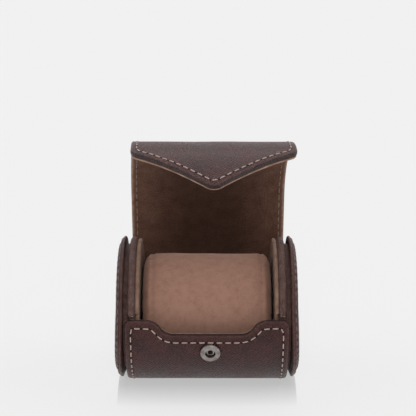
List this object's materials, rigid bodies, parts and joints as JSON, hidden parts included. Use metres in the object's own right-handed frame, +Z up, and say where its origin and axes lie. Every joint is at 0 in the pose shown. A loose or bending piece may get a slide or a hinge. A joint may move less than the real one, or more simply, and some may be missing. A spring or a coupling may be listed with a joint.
{
  "type": "watch travel case",
  "caption": "Leather travel roll for a watch: a round case on its side with padded ends, a low scalloped front, a curved flap with a pointed tip and press stud, and a loose cushion.",
  "frame": {"origin": "middle of the flat base, straight below the middle of the roll", "axes": "+X along the roll to the right seen from the front, +Y to the back where the flap is fixed, +Z up"},
  "size_m": [0.0846, 0.0787, 0.1146],
  "materials": {
    "leather": "fine grain, satin",
    "thin_leather": "fine grain, gathered over the rims",
    "suede": "short brushed nap",
    "board": "pressed fibreboard, hidden",
    "foam": "soft foam, hidden",
    "steel": "nickelled, soft shine"
  },
  "bodies": {
    "case": {"body_cover": "leather", "body_board": "board", "body_lining": "suede", "left_side_board": "board", "left_side_band": "thin_leather", "left_side_lining": "suede", "left_hub": "thin_leather", "right_side_board": "board", "right_side_band": "thin_leather", "right_side_lining": "suede", "right_hub": "thin_leather", "left_cap_board": "board", "left_cap_edge": "leather", "left_cap_padding": "foam", "left_cap_cover": "leather", "right_cap_board": "board", "right_cap_edge": "leather", "right_cap_padding": "foam", "right_cap_cover": "leather", "socket_cup": "steel", "socket_spring": "steel", "socket_rivet": "steel"},
    "heel": {"heel_cover": "leather", "heel_filler": "foam", "heel_lining": "suede"},
    "flap": {"crown_cover": "leather", "crown_board": "board", "crown_lining": "suede"},
    "tip": {"tip_cover": "leather", "tip_board": "board", "tip_lining": "suede", "stud": "steel", "stud_rivet": "steel"},
    "cushion": {"cushion_cover": "suede", "cushion_core": "foam"}
  },
  "joints": [
    {"name": "heel_flex", "type": "hinge", "parent": "case", "child": "heel", "pos_m": [0, 0.03068, 0.04887], "axis": [1, 0, 0], "range_deg": [-12, 29.04]},
    {"name": "crown_flex", "type": "hinge", "parent": "heel", "child": "flap", "pos_m": [0, 0.02875, 0.06576], "axis": [1, 0, 0], "range_deg": [-15.84, 38.33]},
    {"name": "tip_flex", "type": "hinge", "parent": "flap", "child": "tip", "pos_m": [0, -0.01614, 0.11198], "axis": [1, 0, 0], "range_deg": [-20, 21.86]},
    {"name": "cushion_lift", "type": "hinge", "parent": "case", "child": "cushion", "pos_m": [0, -0.05, 0.0253], "axis": [1, 0, 0], "range_deg": [0, 150]}
  ],
  "couplings": [
    {"joint": "crown_flex", "follows": "heel_flex", "ratio": 1.32}
  ]
}
